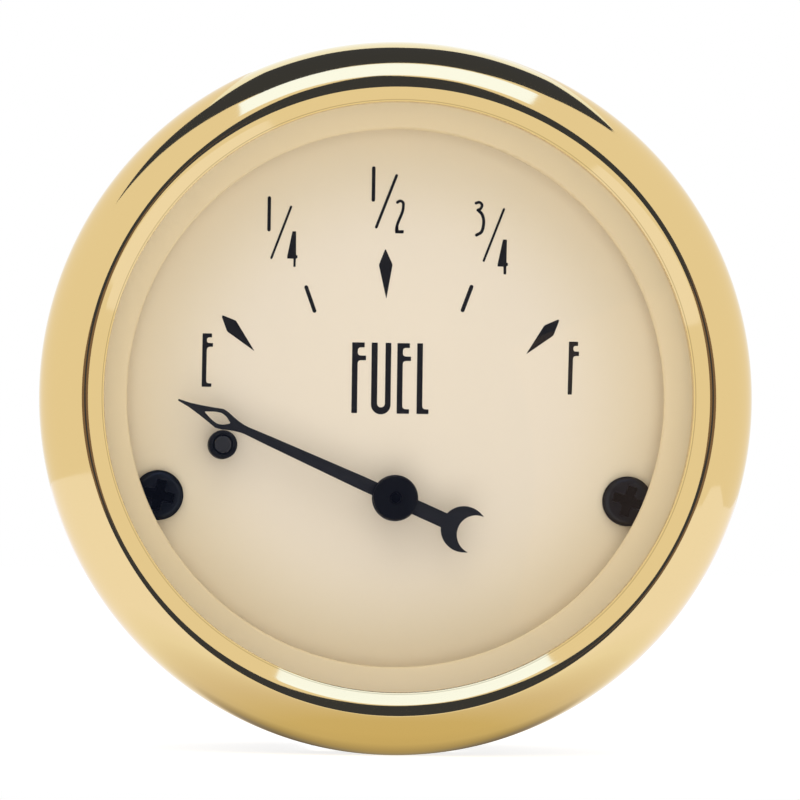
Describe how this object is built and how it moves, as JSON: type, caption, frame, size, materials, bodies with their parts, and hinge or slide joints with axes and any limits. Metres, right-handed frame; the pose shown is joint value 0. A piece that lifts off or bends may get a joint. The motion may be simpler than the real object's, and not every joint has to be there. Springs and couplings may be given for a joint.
{
  "type": "fuel gauge",
  "caption": "Round panel-mount fuel gauge with a brass bezel, flat glass, cream dial, swinging pointer, rear terminals, push-in lamp and a U-shaped clamp.",
  "frame": {"origin": "centre of the case barrel in the plane where the bezel bears on the panel", "axes": "+Y along the case axis towards the back of the instrument, so that the dial faces -Y; +Z towards 12 o'clock on the dial; +X to the right of someone who looks at the dial"},
  "size_m": [0.057, 0.0572, 0.057],
  "materials": {
    "polished_brass": "polished, lacquered",
    "glass": "clear, polished",
    "rubber": "matt",
    "champagne_ring": "satin gold paint",
    "dial_enamel": "satin cream enamel",
    "black_steel": "black oxide",
    "steel": "bright steel",
    "pointer_black": "satin black paint",
    "magnet": "sintered",
    "brass": "turned",
    "nylon": "moulded",
    "copper_wire": "enamelled wire",
    "board": "lacquered board",
    "ceramic": "glazed",
    "case_paint": "satin black enamel",
    "fibre": "vulcanised fibre",
    "zinc_steel": "zinc plated",
    "black_plastic": "moulded",
    "lamp_glass": "clear"
  },
  "bodies": {
    "case": {"bezel": "polished_brass", "lens": "glass", "lens_gasket": "rubber", "trim_ring": "champagne_ring", "dial_plate": "dial_enamel", "dial_screws": "black_steel", "stop_peg": "steel", "peg_sleeve": "rubber", "front_bearing": "brass", "rear_bearing": "brass", "former_front": "nylon", "former_rear": "nylon", "inner_coil": "copper_wire", "outer_coil": "copper_wire", "former_screws": "steel", "shield_can": "steel", "movement_frame": "brass", "dial_pillars": "brass", "board_standoffs": "brass", "circuit_board": "board", "ballast_resistor": "ceramic", "case_can": "case_paint", "case_flange": "case_paint", "terminal_studs": "brass", "inner_insulators": "fibre", "outer_insulators": "fibre", "terminal_washers": "steel", "terminal_lock_washers": "steel", "terminal_nuts": "brass", "clamp_studs": "steel"},
    "pointer_arm": {"pointer": "pointer_black", "pointer_hub": "pointer_black", "spindle": "steel", "rotor_magnet": "magnet"},
    "clamp": {"clamp_bracket": "zinc_steel", "clamp_lock_washers": "steel", "clamp_nuts": "zinc_steel"},
    "lamp": {"lamp_holder": "black_plastic", "lamp_contacts": "brass", "lamp_bulb": "lamp_glass"}
  },
  "joints": [
    {"name": "pointer_swing", "type": "hinge", "parent": "case", "child": "pointer_arm", "pos_m": [0, 0, -0.008], "axis": [0, 1, 0], "range_deg": [0, 132]},
    {"name": "clamp_slide", "type": "slide", "parent": "case", "child": "clamp", "axis": [0, 1, 0], "range_m": [-0.0042, 0.01]},
    {"name": "lamp_pull", "type": "slide", "parent": "case", "child": "lamp", "axis": [0, 1, 0], "range_m": [0, 0.024]}
  ]
}
